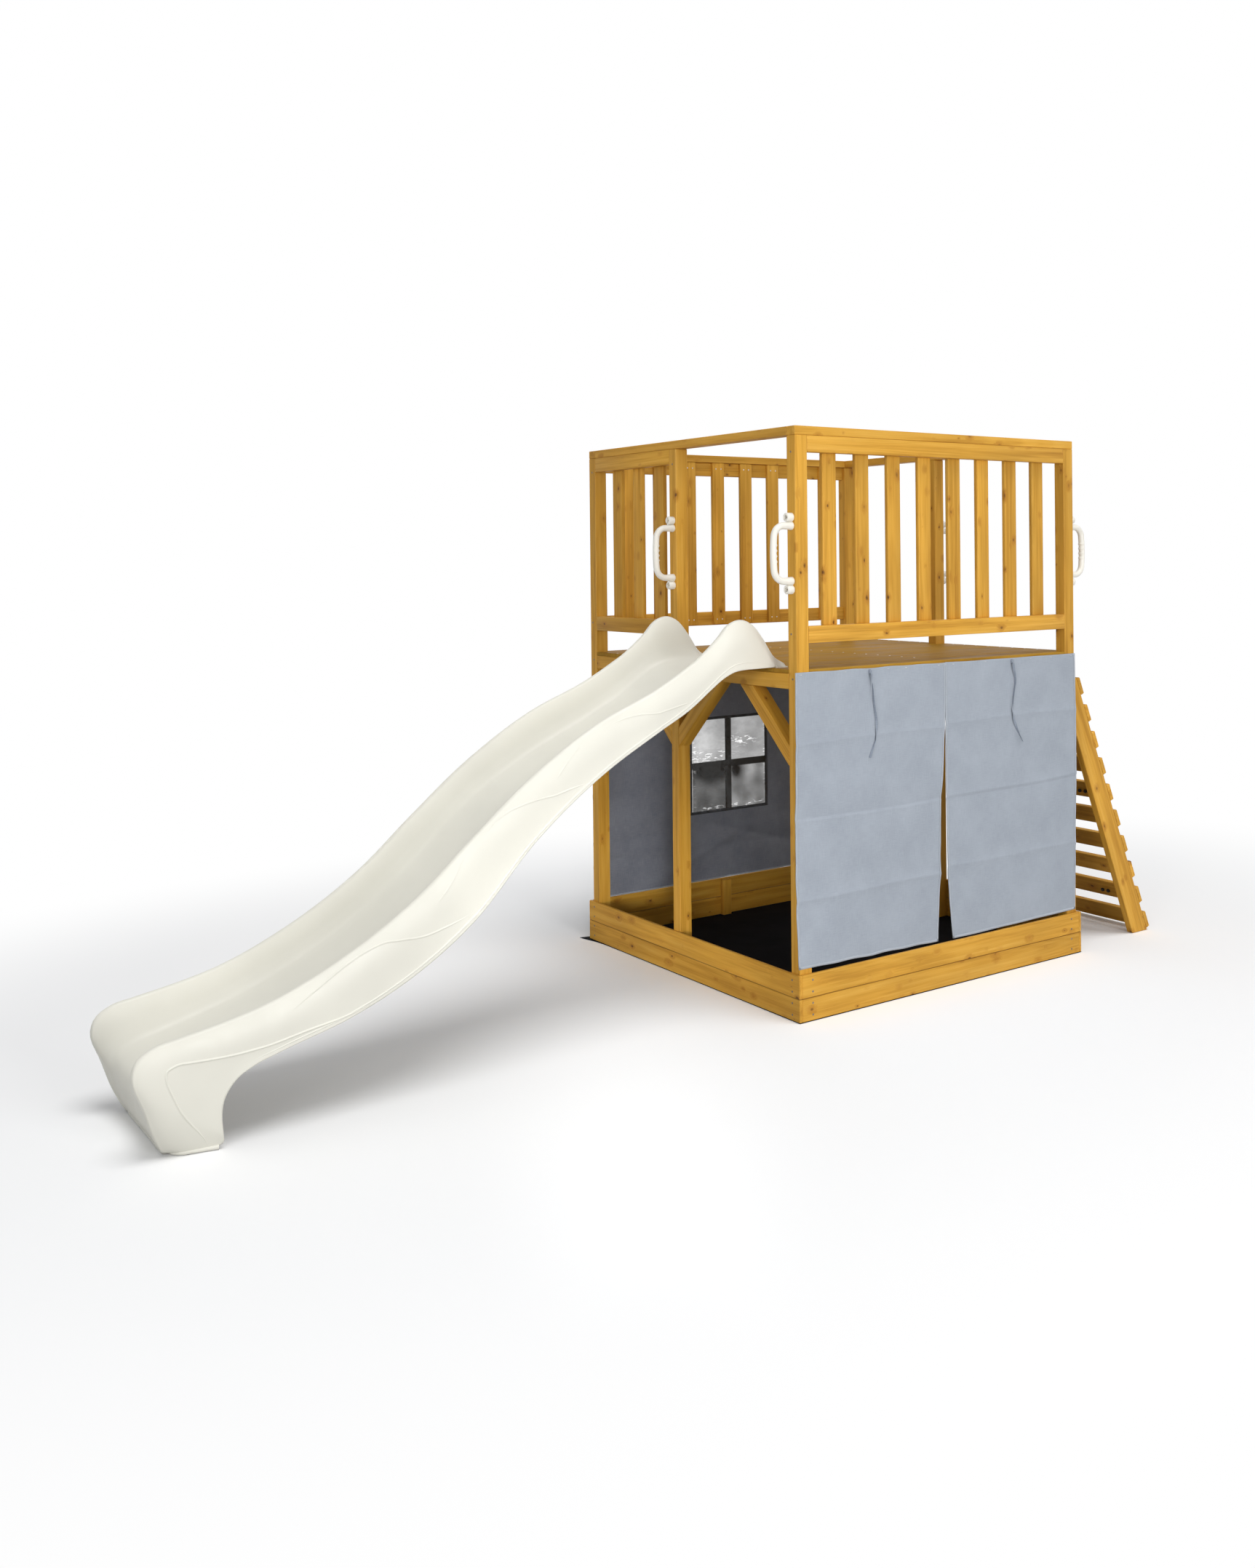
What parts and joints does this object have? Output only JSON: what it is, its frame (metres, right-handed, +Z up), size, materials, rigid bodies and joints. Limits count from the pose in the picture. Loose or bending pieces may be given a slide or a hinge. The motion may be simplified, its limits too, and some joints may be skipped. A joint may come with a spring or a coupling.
{
  "type": "cubby house with slide",
  "caption": "Raised timber play tower with a moulded wavy slide, a slatted climbing ladder, grab handles, split front curtains and a cloth back wall with a clear window.",
  "frame": {"origin": "on the ground, at the middle of the whole object's length and of its depth", "axes": "+Z up; +X from the foot of the slide towards the ladder; the curtains hang on the -Y side"},
  "size_m": [4.1456, 1.3313, 2.034],
  "materials": {
    "stained_pine": "honey-stained knotty pine, satin",
    "stained_deck": "varnished boards, semi-gloss",
    "slide_plastic": "blow-moulded, fine matte texture",
    "handle_plastic": "moulded, satin",
    "hold_plastic": "moulded, gritty",
    "curtain_fabric": "coated canvas, pale grey-blue outside and charcoal inside",
    "tape_fabric": "narrow tape",
    "window_film": "clear flexible film",
    "ground_sheet": "black woven weed mat"
  },
  "bodies": {
    "root": {"post_slide_back": "stained_pine", "post_slide_middle": "stained_pine", "post_slide_front": "stained_pine", "post_ladder_front": "stained_pine", "post_ladder_middle": "stained_pine", "post_ladder_back": "stained_pine", "cap_front": "stained_pine", "cap_back": "stained_pine", "cap_slide_side": "stained_pine", "cap_ladder_side": "stained_pine", "balustrade_front": "stained_pine", "balustrade_back": "stained_pine", "balustrade_slide_side": "stained_pine", "deck": "stained_deck", "deck_joist": "stained_pine", "beam_front": "stained_pine", "beam_back": "stained_pine", "beam_slide_side_front": "stained_pine", "beam_slide_side_back": "stained_pine", "beam_ladder_side_front": "stained_pine", "beam_ladder_side_back": "stained_pine", "brace_front": "stained_pine", "brace_middle_front": "stained_pine", "brace_middle_back": "stained_pine", "brace_back": "stained_pine", "base_front_lower": "stained_pine", "base_front_upper": "stained_pine", "base_back_lower": "stained_pine", "base_back_upper": "stained_pine", "base_slide_side_lower": "stained_pine", "base_slide_side_upper": "stained_pine", "base_ladder_side_lower": "stained_pine", "base_ladder_side_upper": "stained_pine", "base_cleat": "stained_pine", "ground_sheet": "ground_sheet", "slide": "slide_plastic", "handle_slide_front": "handle_plastic", "handle_slide_middle": "handle_plastic", "handle_ladder_front": "handle_plastic", "handle_ladder_middle": "handle_plastic", "ladder_stringer_front": "stained_pine", "ladder_stringer_back": "stained_pine", "ladder_tread_01": "stained_pine", "ladder_tread_02": "stained_pine", "ladder_tread_03": "stained_pine", "ladder_tread_04": "stained_pine", "ladder_tread_05": "stained_pine", "ladder_tread_06": "stained_pine", "ladder_tread_07": "stained_pine", "ladder_tread_08": "stained_pine", "ladder_tread_09": "stained_pine", "ladder_tread_10": "stained_pine", "climbing_hold_upper": "hold_plastic", "climbing_hold_lower": "hold_plastic", "back_wall": "curtain_fabric", "back_window": "window_film"},
    "left_curtain": {"curtain_left": "curtain_fabric", "tie_left": "tape_fabric"},
    "right_curtain": {"curtain_right": "curtain_fabric", "tie_right": "tape_fabric"}
  },
  "joints": [
    {"name": "left_curtain_lift", "type": "hinge", "parent": "root", "child": "left_curtain", "pos_m": [0.4516, -0.6535, 1.19], "axis": [-1, 0, 0], "range_deg": [0, 150]},
    {"name": "right_curtain_lift", "type": "hinge", "parent": "root", "child": "right_curtain", "pos_m": [1.1881, -0.6535, 1.19], "axis": [-1, 0, 0], "range_deg": [0, 150]}
  ]
}
